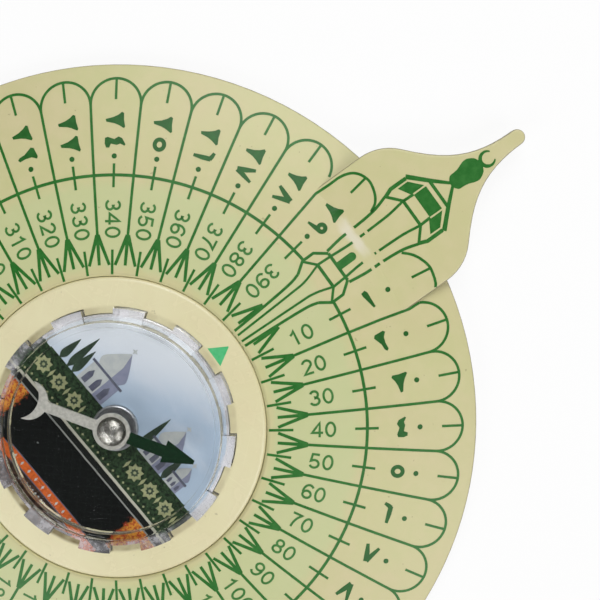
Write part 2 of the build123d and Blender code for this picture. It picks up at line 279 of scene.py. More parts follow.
def moulded_plastic(name, colour, shade, roughness, grain,
                    dark_bands=(), wall_shade_from=None, crease=None, haze=None):
    """Moulded plastic: soft colour drift, fine grain, hair scratches and darker bands.

    The bands, each (inner radius, outer radius, strength, bearing), are painted darker, most of it
    towards the bearing. Beyond the radius given for walls, sheer side walls get painted shade. Along the
    crease mark the plastic is whitened, stress whitening together with a painted highlight of the glare
    there, and ink has bled a faint green into it between the two radii of haze.
    """
    finish = new_finish(name)
    place = finish.place()
    drift = finish.noise(place, 0.07, 4.0, 0.6)
    mottle = finish.noise(place, 0.45, 3.0)
    speck = finish.rise(finish.noise(place, 1.3, 2.0), 0.735, 0.77)
    base = finish.mix(finish.rise(drift, 0.3, 0.7), colour, shade)
    base = finish.mix(finish.rise(mottle, 0.35, 0.75) * 0.22, base, srgb(224, 208, 172))
    radius = finish.radius(place)
    if haze:
        inner, outer = haze
        spread = radius + (mottle - 0.5) * 1.5
        bled = finish.rise(spread, inner, inner + 1.0) * (1 - finish.rise(spread, outer - 2.0, outer))
        base = finish.mix(bled * 0.65, base, srgb(198, 207, 154))
    # Bands painted darker towards a brown, heavier towards a bearing; on the ring they are painted shade
    darkening = 0.0
    for inner, outer, strength, bearing in dark_bands:
        middle = (inner + outer) / 2
        half = (outer - inner) / 2
        band = 1 - finish.rise(abs(radius - middle), half * 0.3, half)
        heavy = finish.rise(finish.along(place, bearing), -middle * 0.5, middle) * 0.7 + 0.3
        darkening = band * heavy * (mottle * strength) + darkening
    base = finish.mix(darkening, base, srgb(118, 104, 66))
    # Painted shade: sheer side walls beyond the given radius are painted dark brown, as if in shadow
    if wall_shade_from:
        facing = finish.add("NewGeometry", output="True Normal")
        upward = finish.part(facing, "Z")
        wall_shade = finish.rise(upward, -0.6, -0.2) * (1 - finish.rise(upward, 0.4, 0.9))
        base = finish.mix((radius > wall_shade_from) * wall_shade * 0.8, base, srgb(96, 84, 78))
    # Whitened band across the pointer's crease: stress whitening together with a painted highlight of the
    # glare on the crease
    if crease:
        across = abs(finish.part(place, "X") - crease_mark.x)
        along = abs(finish.part(place, "Y") - crease_mark.y + (mottle - 0.5) * 1.4)
        pale = 1 - finish.rise(across + (mottle - 0.5) * 2.0, crease * 0.4, crease)
        pale = pale * (1 - finish.rise(along, 0.25, crease_mark_reach[1]))
        base = finish.mix(pale * 0.6, base, srgb(232, 226, 210))
    base = finish.mix(speck * 0.35, base, srgb(120, 104, 70))
    scratch = hair_scratches(finish, place, (17, 74, 131), 1.0, 0.69)
    fine = finish.noise(place, 5.0, 3.0)
    rough = roughness + (mottle - 0.5) * 0.16 + scratch * 0.10 + darkening * 0.25
    relief = fine * grain + mottle * 0.5 - scratch * 0.35
    return finish.surface(finish.principled(
        Base_Color=base,
        Roughness=rough,
        Normal=finish.bump(relief, 0.006),
        IOR=1.5,
        Specular_IOR_Level=0.45,
    ))


def print_ink(name, colour, thin, roughness=0.42):
    """Screen-printed ink: uneven cover, pinholes and a slightly rough top."""
    finish = new_finish(name)
    place = finish.place()
    cover = finish.noise(place, 1.1, 4.0, 0.6)
    pinhole = finish.rise(finish.noise(place, 5.5, 2.0), 0.70, 0.76)
    base = finish.mix(finish.rise(cover, 0.35, 0.72) * 0.6, colour, thin)
    base = finish.mix(pinhole * 0.5, base, thin)
    fine = finish.noise(place, 9.0, 3.0)
    return finish.surface(finish.principled(
        Base_Color=base,
        Roughness=roughness + (cover - 0.5) * 0.2,
        Normal=finish.bump(fine, 0.004),
        Specular_IOR_Level=0.4,
    ))


def bare_metal(name, colour, dark, roughness, ring_marks=0.0):
    """Plain metal with tarnish, and the marks of turning."""
    finish = new_finish(name)
    place = finish.place()
    tarnish = finish.rise(finish.noise(place, 0.9, 4.0, 0.6), 0.4, 0.75)
    base = finish.mix(tarnish * 0.55, colour, dark)
    fine = finish.noise(place, 6.0, 3.0)
    relief = fine * 0.6
    if ring_marks:
        wave = (finish.radius(place) * ring_marks).sine()
        relief = wave * 0.5 + relief
    return finish.surface(finish.principled(
        Base_Color=base,
        Metallic=1.0,
        Roughness=roughness + tarnish * 0.18 + (fine - 0.5) * 0.1,
        Normal=finish.bump(relief, 0.003),
    ))


def needle_paint():
    """Stamped silver blade, with dark green paint on its north arm."""
    finish = new_finish("needle_silver_and_green")
    place = finish.place()
    north = finish.along(place, needle_bearing)
    edge = finish.noise(place, 1.4, 3.0)
    painted = finish.rise(north + (edge - 0.5) * 0.5, 2.05, 2.2)
    worn = finish.rise(finish.noise(place, 2.2, 4.0, 0.65), 0.3, 0.7)
    silver = finish.mix(worn, srgb(202, 200, 190), srgb(176, 174, 164))
    green = finish.mix(worn, srgb(7, 34, 15), srgb(12, 44, 22))
    chip = finish.rise(finish.noise(place, 4.5, 2.0), 0.73, 0.78)
    base = finish.mix(painted, silver, finish.mix(chip * 0.35, green, srgb(58, 84, 62)))
    grain = finish.noise(finish.stretched(place, (2.0, 0.06, 2.0), 90 - needle_bearing), 1.0, 3.0)
    return finish.surface(finish.principled(
        Base_Color=base,
        Metallic=(1 - painted) * 0.55,
        Roughness=0.42 + (grain - 0.5) * 0.2 + painted * 0.06,
        Normal=finish.bump(grain * (1 - painted) + worn * 0.5, 0.003),
        Specular_IOR_Level=0.06,
    ))


def needle_cap_metal():
    """Plated cap with a bright crown, and its sides painted dark as a painted reflection of the dark
    surroundings.
    """
    finish = new_finish("needle_cap_plating")
    place = finish.place()
    # Painted reflection: the dome's sloping sides are painted dark
    side = finish.rise(finish.radius(place), 1.0, 1.55)
    cloud = finish.noise(place, 1.6, 4.0, 0.6)
    crown = finish.mix(finish.rise(cloud, 0.35, 0.65), srgb(200, 198, 190), srgb(128, 126, 118))
    base = finish.mix(side * 0.85, crown, srgb(72, 70, 64))
    return finish.surface(finish.principled(
        Base_Color=base,
        Metallic=1.0,
        Roughness=0.2 + cloud * 0.16,
        Normal=finish.bump(cloud, 0.09),
    ))


def clear_plastic(name, tint, ior, rim_from=None):
    """Clear moulded plastic that lets the lamps through.

    Beyond the radius rim_from its upper faces fall away outward, and they are rubbed white in patches: wear
    together with a painted highlight for the rim's white glints.
    """
    finish = new_finish(name)
    place = finish.place()
    smear = finish.noise(place, 0.35, 4.0, 0.6)
    scratch = hair_scratches(finish, place, (8, 52, 97, 149), 1.6, 0.7)
    relief = (smear - scratch * 0.2) * 0.004
    if rim_from:
        beyond = finish.radius(place) - rim_from | 0.0
        facing = finish.add("NewGeometry", output="True Normal")
        upper = (finish.part(facing, "Z") > 0.5) * (1 - facing.output("Backfacing"))
        relief = relief - beyond * upper * rim_slope
    clear = finish.principled(
        Base_Color=tint,
        Roughness=finish.rise(smear, 0.45, 0.8) * 0.05 + scratch * 0.06 + 0.008,
        IOR=ior,
        Transmission_Weight=1.0,
        Normal=finish.bump(relief, 1.0),
    )
    if rim_from:
        # Wear together with a painted highlight: white patches on the rim's upper faces stand in for glints
        scuff_and_glint = finish.rise(finish.noise(place, 0.55, 4.0, 0.7), 0.42, 0.68) * 0.36 + 0.08
        worn = finish.principled(
            Base_Color=finish.mix(smear, srgb(244, 243, 246), srgb(226, 222, 230)),
            Roughness=0.3 + smear * 0.2,
        )
        scuffed_and_glinting = finish.rise(beyond, 0.1, 0.5) * upper * scuff_and_glint
        clear = finish.blend(scuffed_and_glinting, clear, worn)
    path = finish.add("LightPath", output="Is Shadow Ray")
    through = finish.add("BsdfTransparent", None, {"Color": (0.97, 0.975, 0.98, 1)})
    lit = finish.blend(path.output("Is Diffuse Ray"), clear, through)
    return finish.surface(finish.blend(path, lit, through))


# Picture card: bands from top to bottom, each from its lower edge up to the band above
sky_edge = 0.35
hedge_edge = -4.2
path_edge = -4.55
gap_edge = -5.3
kerb_edge = -5.5
night_edge = -11.3
tile_edge = -12.45
corner_start = 9.8


def picture_card():
    """Coated card printed with a sky and plain coloured bands; the sky carries painted glare, lighter
    towards the top left and pale round its edge.
    """
    finish = new_finish("printed_picture_card")
    place = finish.place()
    up = finish.along(place, card_up_bearing)
    across = finish.along(place, card_up_bearing + 90)
    cloud = finish.noise(finish.stretched(place, (2.2, 1.0, 1.0), -card_up_bearing), 0.22, 5.0, 0.6)
    leaf = finish.noise(place, 2.6, 4.0, 0.7)
    # Painted reflection: the sky grows lighter towards the top left, standing in for glare on the lens
    sky = finish.mix(finish.rise(up - across * 0.6, 4, 12), srgb(176, 194, 212), srgb(222, 228, 234))
    sky = finish.mix(finish.rise(cloud, 0.46, 0.74) * 0.55, sky, srgb(216, 222, 230))
    # Painted highlight: a pale edge round the sky under the lens rim, so the clear lugs show white
    rim_glare = finish.rise(finish.radius(place), picture_radius - 0.3, picture_radius + 0.3)
    sky = finish.mix(rim_glare * 0.85, sky, srgb(232, 230, 234))
    hedge = finish.mix(finish.rise(leaf, 0.35, 0.65), srgb(20, 30, 20), srgb(54, 76, 50))
    net = 0.0
    for slant in (1.0, -1.0):
        wave = ((across + up * slant) * 4.2).sine()
        net = finish.rise(wave, 0.985, 0.998) | net
    night = finish.mix(finish.rise(leaf, 0.5, 0.75), srgb(5, 8, 6), srgb(14, 18, 16))
    night = finish.mix(net * 0.6, night, srgb(28, 33, 30))
    spark = finish.rise(finish.noise(place, 1.7, 1.0), 0.77, 0.79)
    night = finish.mix(spark * 0.7, night, srgb(128, 134, 130))
    tile = finish.mix(finish.rise(leaf, 0.4, 0.7), srgb(214, 104, 44), srgb(172, 76, 36))
    soil = finish.mix(finish.rise(leaf, 0.4, 0.6), srgb(30, 22, 19), srgb(78, 56, 44))
    bands = (
        (tile_edge, tile),
        (night_edge, night),
        (kerb_edge, srgb(140, 142, 136)),
        (gap_edge, srgb(22, 25, 22)),
        (path_edge, srgb(188, 186, 168)),
        (hedge_edge, hedge),
        (sky_edge, sky),
    )
    base = soil
    wander = (finish.noise(place, 0.8, 2.0) - 0.5) * 0.08
    for edge, colour in bands:
        base = finish.mix(up + wander > edge, base, colour)
    corner = finish.rise(abs(across) + (leaf - 0.5) * 2.4, corner_start, corner_start + 0.5)
    corner = corner * ((up < kerb_edge) * (up > night_edge + 1.4))
    petals = finish.mix(finish.rise(leaf, 0.4, 0.6), srgb(216, 150, 58), srgb(164, 58, 36))
    base = finish.mix(corner, base, petals)
    dots = finish.noise(place, 7.0, 1.0)
    base = finish.mix((dots - 0.5) * 0.12 | 0.0, base, srgb(120, 120, 130))
    return finish.surface(finish.principled(
        Base_Color=base,
        Roughness=0.5 + (dots - 0.5) * 0.15,
        Normal=finish.bump(dots, 0.003),
        Specular_IOR_Level=0.03,
    ))


# Shapes drawn in the dial's plane

def polar(bearing, radius):
    """Point of the dial's plane at a bearing and a radius."""
    angle = math.radians(bearing)
    return Vector((radius * math.sin(angle), radius * math.cos(angle)))


def oval(across, up, half_width, half_height, start=0, end=360, count=22):
    """Points on an oval from one angle to another, anticlockwise where end is the larger."""
    points = []
    for index in range(count + 1):
        angle = math.radians(start + (end - start) * index / count)
        points.append((across + half_width * math.cos(angle), up + half_height * math.sin(angle)))
    return points


def curve(points, count=8):
    """Smooth line through a few points."""
    points = [Vector(point) for point in points]
    line = []
    ends = [points[0] * 2 - points[1]] + points + [points[-1] * 2 - points[-2]]
    for before, first, second, after in zip(ends, ends[1:], ends[2:], ends[3:]):
        for index in range(count):
            share = index / count
            line.append(0.5 * (
                2 * first
                + (second - before) * share
                + (2 * before - 5 * first + 4 * second - after) * share ** 2
                + (3 * first - before - 3 * second + after) * share ** 3))
    return line + [points[-1]]


def spaced(points, widths, step):
    """The same line with extra points, so that none are further apart than step."""
    line = []
    for index in range(len(points) - 1):
        first, second = Vector(points[index]), Vector(points[index + 1])
        count = max(1, math.ceil((second - first).length / step))
        for part in range(count):
            share = part / count
            width = widths[index] + (widths[index + 1] - widths[index]) * share
            line.append((first.lerp(second, share), width))
    line.append((Vector(points[-1]), widths[-1]))
    return line


class Skin:
    """Heights of a solid's upper surface, in millimetres."""

    def __init__(self, node):
        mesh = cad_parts[node].data
        corners = [vertex.co for vertex in mesh.vertices]
        faces = [tuple(face.vertices) for face in mesh.polygons]
        self.tree = BVHTree.FromPolygons(corners, faces)
        self.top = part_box(node)[1].z + MM

    def height(self, point):
        hit = self.tree.ray_cast(Vector((point[0] * MM, point[1] * MM, self.top)), Vector((0, 0, -1)))
        return hit[0].z / MM if hit[0] else None


class Print:
    """Ink on a surface: strokes and patches as thin closed solids that follow it."""

    def __init__(self, name, skin, keep=None):
        self.name = name
        self.skin = skin
        self.keep = keep
        self.shape = bmesh.new()
        self.laid = 0

    def lift(self, layer=0):
        """Each shape lies a little higher than the one before, so that none share a face."""
        self.laid += 1
        return ink_lift + ink_layer * (self.laid % ink_layers + layer * ink_layers)

    def corner(self, point, height, offset):
        return self.shape.verts.new((point[0] * MM, point[1] * MM, (height + offset) * MM))

    def stroke(self, points, width, step=ink_step):
        """A pen line. A line that ends where it starts is closed."""
        widths = width if isinstance(width, (list, tuple)) else [width] * len(points)
        line = spaced(points, widths, step)
        closed = (line[0][0] - line[-1][0]).length < same_place and len(line) > 3
        if closed:
            line.pop()
        runs = [[]]
        for index, (point, pen) in enumerate(line):
            sides = self.sides(line, index, closed)
            heights = [self.skin.height(side) for side in sides]
            fits = None not in heights and abs(heights[0] - heights[1]) < ink_slope * pen
            fits = fits and (self.keep is None or self.keep(point))
            if runs[-1] and not (fits and self.follows(runs[-1][-1], sides, heights)):
                runs.append([])
            if fits:
                runs[-1].append((sides, heights))
        whole = closed and len(runs) == 1 and len(runs[0]) == len(line)
        for run in runs:
            if len(run) > 1:
                self.ribbon(run, whole)

    def follows(self, station, sides, heights):
        """True where the surface runs on from the last station without a step."""
        drop = abs(sum(heights) - sum(station[1])) / 2
        gap = (sides[0] - station[0][0]).length
        return drop < ink_slope * gap + ink_play

    def sides(self, line, index, closed):
        """Points on the two edges of the line, square to it and mitred at corners."""
        point, pen = line[index]
        count = len(line)
        before = line[(index - 1) % count][0] if closed or index else None
        after = line[(index + 1) % count][0] if closed or index < count - 1 else None
        ways = [(point - before).normalized()] if before is not None else []
        if after is not None:
            ways.append((after - point).normalized())
        squares = [Vector((-way.y, way.x)) for way in ways]
        square = sum(squares, Vector((0, 0)))
        square = square.normalized() if square.length > same_place else squares[0]
        reach = pen / 2 / max(mitre_limit, square.dot(squares[0]))
        return point + square * reach, point - square * reach

    def ribbon(self, run, whole):
        """A thin bar along a run of stations, joined end to end where it is whole."""
        lift = self.lift()
        rows = []
        for (left, right), (left_height, right_height) in run:
            rows.append((
                self.corner(left, left_height, lift),
                self.corner(right, right_height, lift),
                self.corner(right, right_height, -ink_sink),
                self.corner(left, left_height, -ink_sink),
            ))
        pairs = list(zip(rows, rows[1:]))
        if whole:
            pairs.append((rows[-1], rows[0]))
        for first, second in pairs:
            for side in range(4):
                around = (side + 1) % 4
                self.shape.faces.new((first[side], second[side], second[around], first[around]))
        if not whole:
            self.shape.faces.new(rows[0])
            self.shape.faces.new(tuple(reversed(rows[-1])))

    def patch(self, outline, layer=0):
        """A filled shape inside an outline; a shape in a higher layer covers those below it."""
        outline = [Vector(point) for point in outline]
        heights = [self.skin.height(point) for point in outline]
        if None in heights:
            return
        lift = self.lift(layer)
        turned = sum(a.x * b.y - b.x * a.y for a, b in zip(outline, outline[1:] + outline[:1]))
        if turned < 0:
            outline.reverse()
            heights.reverse()
        top = [self.corner(point, height, lift) for point, height in zip(outline, heights)]
        low = [self.corner(point, height, -ink_sink) for point, height in zip(outline, heights)]
        self.shape.faces.new(top)
        self.shape.faces.new(tuple(reversed(low)))
        for index in range(len(top)):
            around = (index + 1) % len(top)
            self.shape.faces.new((top[index], low[index], low[around], top[around]))

    def finish(self, material, body, slot):
        """Turns the ink into a piece that rides on its body."""
        bmesh.ops.recalc_face_normals(self.shape, faces=self.shape.faces)
        bmesh.ops.triangulate(self.shape, faces=self.shape.faces, ngon_method="EAR_CLIP")
        mesh = bpy.data.meshes.new(self.name)
        self.shape.to_mesh(mesh)
        self.shape.free()
        mesh.materials.append(material)
        piece = new_object(self.name, mesh)
        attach(piece, body)


# Numerals, drawn one unit high

def half_turn(strokes, across):
    """The same strokes turned upside down about the middle of the numeral."""
    return [[(2 * across - point[0], 1 - point[1]) for point in stroke] for stroke in strokes]


western_advance = 0.75
western_middle = western_advance / 2
western_six = [
    oval(0.385, 0.30, 0.235, 0.235),
    oval(0.44, 0.49, 0.30, 0.445, 42, 190),
]
western_numerals = {
    "0": [oval(western_middle, 0.5, 0.25, 0.435)],
    "1": [[(0.17, 0.735), (0.31, 0.80), (0.42, 0.93), (0.42, 0.0)]],
    "2": [oval(0.375, 0.685, 0.24, 0.245, 165, -28) + [(0.125, 0.065), (0.645, 0.065)]],
    "3": [oval(0.36, 0.715, 0.215, 0.22, 160, -78) + oval(0.36, 0.295, 0.25, 0.235, 80, -162)],
    "4": [[(0.70, 0.29), (0.085, 0.29), (0.51, 0.93), (0.51, 0.0)]],
    "5": [[(0.61, 0.93), (0.22, 0.93), (0.155, 0.48)] + oval(0.365, 0.31, 0.25, 0.25, 128, -158)],
    "6": western_six,
    "7": [[(0.11, 0.93)] + curve([(0.635, 0.93), (0.44, 0.64), (0.335, 0.34), (0.29, 0.0)])],
    "8": [oval(western_middle, 0.715, 0.205, 0.215), oval(western_middle, 0.285, 0.245, 0.22)],
    "9": half_turn(western_six, western_middle),
}

# A brush stroke is a list of (across, up, pen width), and a filled shape a list of (across, up)
eastern_numerals = {
    "1": [[(-0.12, 0.98, 0.16), (-0.06, 0.82, 0.22), (0.10, 0.0, 0.08)]],
    "2": [[
        (-0.34, 0.80), (-0.27, 0.95), (0.22, 1.05), (0.33, 0.97), (0.18, 0.72),
        (0.17, 0.40), (0.24, 0.05), (0.13, -0.04), (0.03, 0.06), (-0.06, 0.38),
    ]],
    "3": [[
        (-0.43, 0.85), (-0.37, 0.96), (0.0, 0.97), (0.36, 1.04), (0.44, 0.97), (0.27, 0.69),
        (0.17, 0.44), (0.09, 0.02), (-0.05, -0.02), (-0.15, 0.38), (-0.28, 0.66),
    ]],
    "4": [[
        (0.17, 1.08), (0.24, 1.03), (0.13, 0.80), (0.20, 0.62), (0.13, 0.30), (0.34, 0.22), (0.33, 0.05),
        (0.12, -0.03), (-0.18, -0.02), (-0.23, 0.13), (-0.11, 0.48), (-0.25, 0.70), (-0.16, 0.90),
    ]],
    "5": [[(across, up, 0.145) for across, up in oval(0, 0.5, 0.27, 0.25)]],
    "6": [
        [(-0.28, 1.04, 0.11), (-0.04, 0.96, 0.15), (0.10, 0.88, 0.17)],
        [(0.08, 0.94, 0.17), (0.11, 0.50, 0.17), (0.12, 0.0, 0.11)],
    ],
    "7": [
        [(-0.34, 0.98, 0.11), (-0.16, 0.52, 0.18), (0.0, 0.04, 0.19)],
        [(0.34, 0.98, 0.10), (0.16, 0.52, 0.16), (0.0, 0.06, 0.19)],
    ],
    "8": [
        [(-0.34, 0.02, 0.11), (-0.16, 0.48, 0.18), (0.0, 0.96, 0.19)],
        [(0.34, 0.02, 0.10), (0.16, 0.48, 0.16), (0.0, 0.94, 0.19)],
    ],
    "9": [
        [(across, up, 0.15) for across, up in oval(-0.06, 0.74, 0.19, 0.19)],
        [(0.12, 0.78, 0.15), (0.15, 0.45, 0.16), (0.22, 0.0, 0.08)],
    ],
}
eastern_zero_radius = 0.14


class Lettering:
    """Place of a numeral on the dial: its top faces the pointer, and it reads along its petal."""

    def __init__(self, bearing, height):
        self.bearing = bearing
        self.height = height
        self.outward = 1 if bearing <= 180 else -1
        self.along = polar(bearing, self.outward)
        self.up = Vector((-self.along.y, self.along.x))

    def point(self, radius, across, up):
        middle = polar(self.bearing, radius)
        return middle + (self.along * across + self.up * (up - 0.5)) * self.height


def western_label(sheet, number, bearing):
    """A number in Western numerals, centred on its petal's axis."""
    spot = Lettering(bearing, western_height)
    text = str(number)
    for index, digit in enumerate(text):
        offset = (index - len(text) / 2) * western_advance
        for stroke in western_numerals[digit]:
            places = [((offset + across) * western_stretch, up) for across, up in stroke]
            line = [spot.point(western_radius, across, up) for across, up in places]
            sheet.stroke(line, western_pen * western_height)


def eastern_label(sheet, number, bearing):
    """A number in Arabic-Indic numerals, one digit after another along its petal."""
    spot = Lettering(bearing, eastern_height)
    text = str(number)
    if len(text) == 2:
        radii = (eastern_two[0] + first_digit_shift.get(number, 0.0), eastern_two[1])
    else:
        radii = eastern_three_out if spot.outward > 0 else eastern_three_in
    for digit, radius in zip(text, radii):
        if digit == "0":
            dot = oval(0, 0.5, eastern_zero_radius, eastern_zero_radius, 0, 330, 11)
            sheet.patch([spot.point(radius, across, up) for across, up in dot])
            continue
        for stroke in eastern_numerals[digit]:
            line = [spot.point(radius, point[0], point[1]) for point in stroke]
            if len(stroke[0]) == 2:
                sheet.patch(line)
            else:
                pens = [point[2] * eastern_pen * eastern_height for point in stroke]
                sheet.stroke(line, pens, eastern_step)


# Dial print

def unbroken(point):
    """False where the print skips along the crease at the pointer's root."""
    radius = point.length
    if point.y < 0 or abs(point.x) > dash_half_width or not dash_band[0] < radius < dash_band[1]:
        return True
    if abs(point.x - crease_mark.x) < crease_mark_reach[0] and abs(point.y - crease_mark.y) < crease_gap:
        return False
    return math.sin(2 * math.pi * radius / dash_length + dash_slant * point.x) > dash_cut


# Petals beside the minaret, as (distance to the side, distance along the pointer's axis). The bow before
# the pointer runs up from its petal's border. The bow after it starts at the pointer's edge, and the border
# passes by
bow_before = [
    (8.78, 36.6), (8.7, 38.6), (8.68, 40.2), (8.3, 41.5), (7.5, 42.35),
    (6.2, 42.8), (4.7, 42.5), (3.6, 41.8), (3.05, 40.8),
]
bow_after = [
    (9.08, 41.75), (8.66, 42.1), (7.87, 42.41), (6.66, 42.68), (5.52, 42.49), (4.25, 41.91), (3.18, 40.92),
]
border_after = [(7.0, 29.17), (8.3, 34.1), (9.38, 37.7), (9.48, 39.12)]
pointer_tick_shift = 0.5


def petal_border(sheet, index):
    """The line between a petal and the next, with the fan of strokes at its foot."""
    border = (index + 0.5) * petal_step
    beside_pointer = index in (0, petal_count - 1)
    root = polar(border, border_root)
    if index == petal_count - 2:
        sheet.stroke([root] + curve(mirrored(bow_before, -1)), print_line, bow_step)
    elif index == 1:
        sheet.stroke([root] + border_after, print_line, border_step)
    elif not beside_pointer:
        sheet.stroke([root, polar(border, petal_arc_centre)], print_line, border_step)
    outer_side = 1 if index == 0 else -1
    apex = border - fan_lean * outer_side if beside_pointer else border
    for bearing in fan_bearings:
        if beside_pointer and bearing * outer_side < 0:
            continue
        line = [polar(border + bearing, fan_inner), polar(apex + bearing * fan_apex_spread, fan_apex)]
        sheet.stroke(line, [fan_line, fan_apex_line])


def petal_bow(sheet, index):
    """The round end of a petal, and the ticks along its axis."""
    bearing = index * petal_step
    centre = polar(bearing, petal_arc_centre)
    axis = 90 - bearing
    top = petal_top
    if index in (1, petal_count - 1):
        top += pointer_tick_shift
    else:
        bow = oval(centre.x, centre.y, petal_arc_radius, petal_arc_radius,
                   axis - petal_bow_half, axis + petal_bow_half, 28)
        sheet.stroke(bow, print_line, bow_step)
    for span in ((top - top_tick_length, top), cross_tick, long_tick):
        sheet.stroke([polar(bearing, radius) for radius in span], tick_line)


def petal_print(skin):
    """Petal outlines, the scale circle and its ticks."""
    sheet = Print("dial_petal_print", skin, unbroken)
    for index in range(petal_count):
        petal_border(sheet, index)
    for index in range(1, petal_count):
        petal_bow(sheet, index)
    sheet.stroke(curve(bow_after), print_line, bow_step)
    start = math.degrees(math.asin(balcony_half / scale_radius))
    sheet.stroke(oval(0, 0, scale_radius, scale_radius, 90 + start, 450 - start, 240), scale_line)
    return sheet


def numeral_print(skin):
    """Both sets of numerals."""
    western = Print("dial_western_numerals", skin)
    eastern = Print("dial_eastern_numerals", skin, unbroken)
    for index in range(1, petal_count):
        western_label(western, index * 10, index * petal_step)
        eastern_label(eastern, index * 10, index * petal_step)
    return western, eastern


# Minaret on the pointer, as (half width, distance from the compass axis)
balcony_half = 3.1
minaret_pen = 0.40
finial_outline = [
    (0.35, 54.98), (1.02, 54.6), (1.47, 53.8), (1.42, 53.1),
    (1.12, 52.3), (1.02, 51.6), (0.94, 51.0), (0.32, 50.5),
]
crescent_centre = 55.92
crescent_radius = 0.9
roof_line = [(0.25, 50.6), (1.85, 48.85), (4.05, 46.65)]
roof_pen = [0.36, 0.50, 0.58]
gallery_front = [(-1.66, 48.0), (1.66, 48.0), (1.66, 46.2), (-1.66, 46.2)]
gallery_side = [(1.88, 47.9), (3.42, 46.5), (3.4, 45.05), (1.88, 45.95)]
gallery_post = [(3.86, 46.55), (3.88, 44.3), (3.45, 43.25)]
parapet_corner = [(1.74, 46.2), (1.8, 44.75), (3.45, 43.3)]
upper_shaft_edge = [(3.55, 43.3), (3.05, 41.6), (2.82, 40.0), (2.7, 38.0), (2.62, 36.0), (2.3, 33.7)]
upper_shaft_fold = [(1.8, 44.6), (1.5, 42.4), (1.4, 39.9), (1.36, 36.4), (1.55, 33.7)]
door_half = 0.52
door_span = (33.7, 35.75)
balcony_edge = [(2.0, 33.66), (balcony_half, 32.2), (balcony_half, 30.6), (2.1, 29.2)]
balcony_fold = [(1.55, 33.66), (1.65, 31.8), (balcony_half, 30.5)]
shaft_foot = ring_radius + 0.1
lower_shaft_edge = [(2.1, 29.2), (1.75, 27.7), (1.42, 24.0), (1.08, shaft_foot)]
lower_shaft_fold = [(1.6, 31.7), (0.92, 29.4), (0.74, 27.0), (0.42, shaft_foot)]
minaret_rails = [(1.95, 48.7), (1.85, 44.72), (2.0, 33.66), (1.65, 31.8)]
shaft_step = 0.3


def mirrored(points, side):
    """The same points on the side 1, after the pointer's axis, or -1, before it."""
    return [(side * across, along) for across, along in points]


def minaret_print(skin):
    """A minaret drawn in lines along the pointer, the same on both sides of its axis."""
    sheet = Print("pointer_minaret_print", skin, unbroken)
    outline = curve(finial_outline, 4)
    sheet.patch(outline + mirrored(reversed(outline), -1))
    horns = oval(0, crescent_centre, crescent_radius, crescent_radius, 128, 412, 26)
    pens = [0.16 + 0.30 * math.sin(math.pi * index / (len(horns) - 1)) for index in range(len(horns))]
    sheet.stroke(horns, pens, shaft_step)
    sheet.patch(gallery_front)
    door = oval(0, door_span[1], door_half, door_half, 0, 180, 10)
    sheet.patch(door + [(-door_half, door_span[0]), (door_half, door_span[0])])
    for across, along in minaret_rails:
        sheet.stroke([(-across, along), (across, along)], minaret_pen)
    lines = (
        (gallery_post, 1.2, ink_step),
        (parapet_corner, 0.9, ink_step),
        (curve(upper_shaft_edge), 0.9, shaft_step),
        (curve(upper_shaft_fold), 0.8, shaft_step),
        (balcony_edge, 0.9, ink_step),
        (balcony_fold, 0.8, ink_step),
        (curve(lower_shaft_edge), 0.85, ink_step),
        (curve(lower_shaft_fold), 0.7, ink_step),
    )
    for side in (-1, 1):
        sheet.stroke(mirrored(roof_line, side), roof_pen)
        sheet.patch(mirrored(gallery_side, side))
        for points, pen, step in lines:
            sheet.stroke(mirrored(points, side), minaret_pen * pen, step)
    return sheet


def index_mark(skin):
    """The triangle on the turning ring."""
    sheet = Print("ring_index_mark", skin)
    edge = []
    for index in range(mark_rows + 1):
        share = index / mark_rows
        along = mark_base + (mark_apex - mark_base) * share
        edge.append((mark_half_width * (1 - share) + mark_tip, along))
    for low, high in zip(edge, edge[1:]):
        sheet.laid = 0
        sheet.patch(mirrored([low], -1) + [low, high] + mirrored([high], -1))
    return sheet


# Picture on the card

def card_point(across, up):
    """Point of the dial's plane at a place in the picture."""
    return polar(card_up_bearing + 90, across) + polar(card_up_bearing, up)


def on_card(points):
    """True where a shape lies on the card and clear of the eyelet."""
    reach = [Vector(point).length for point in points]
    return max(reach) < picture_radius and min(reach) > eyelet_radius + eyelet_margin


class CardPrint(Print):
    """Print on the card, placed by the picture's own axes."""

    def draw(self, outline, layer=0):
        """A filled shape, left out where it doesn't fit on the card."""
        points = [card_point(across, up) for across, up in outline]
        if on_card(points):
            self.patch(points, layer)

    def rule(self, start, end, width):
        """A straight rule, cut off where it leaves the card or meets the eyelet."""
        first, second = card_point(*start), card_point(*end)
        count = math.ceil((second - first).length / rule_step)
        run = []
        for index in range(count + 1):
            point = first.lerp(second, index / count)
            if on_card([point]):
                run.append(point)
            if run and (index == count or not on_card([point])):
                if len(run) > 2:
                    self.stroke([run[0], run[-1]], width, 2.0)
                run = []


# Pavilions as (middle, half width, wall height, dome height), and trees as (middle, height)
pavilions = ((-5.6, 2.3, 2.9, 3.8), (5.9, 1.9, 2.5, 3.2), (9.8, 1.1, 1.5, 1.8))
cypresses = ((-11.0, 3.4), (-9.6, 5.2), (-8.7, 3.8), (3.5, 5.6), (8.3, 4.0))
pavilion_shade = 0.25
eaves_height = 0.35
star_row = -1.8
star_step = 2.9
star_radius = 1.15
bead_row = -3.7
bead_step = 0.97
diamond_step = 1.3
diamond_row = (night_edge + tile_edge) / 2
pebble_step = 0.55
pebble_row = -13.05


def star(across, up, radius, points=8, waist=0.7):
    """Outline of a star with its first point upward."""
    outline = []
    for index in range(points * 2):
        reach = radius if index % 2 == 0 else radius * waist
        angle = math.pi * index / points
        outline.append((across + reach * math.sin(angle), up + reach * math.cos(angle)))
    return outline


def block(left, right, low, high):
    """Outline of an upright rectangle."""
    return [(left, low), (right, low), (right, high), (left, high)]


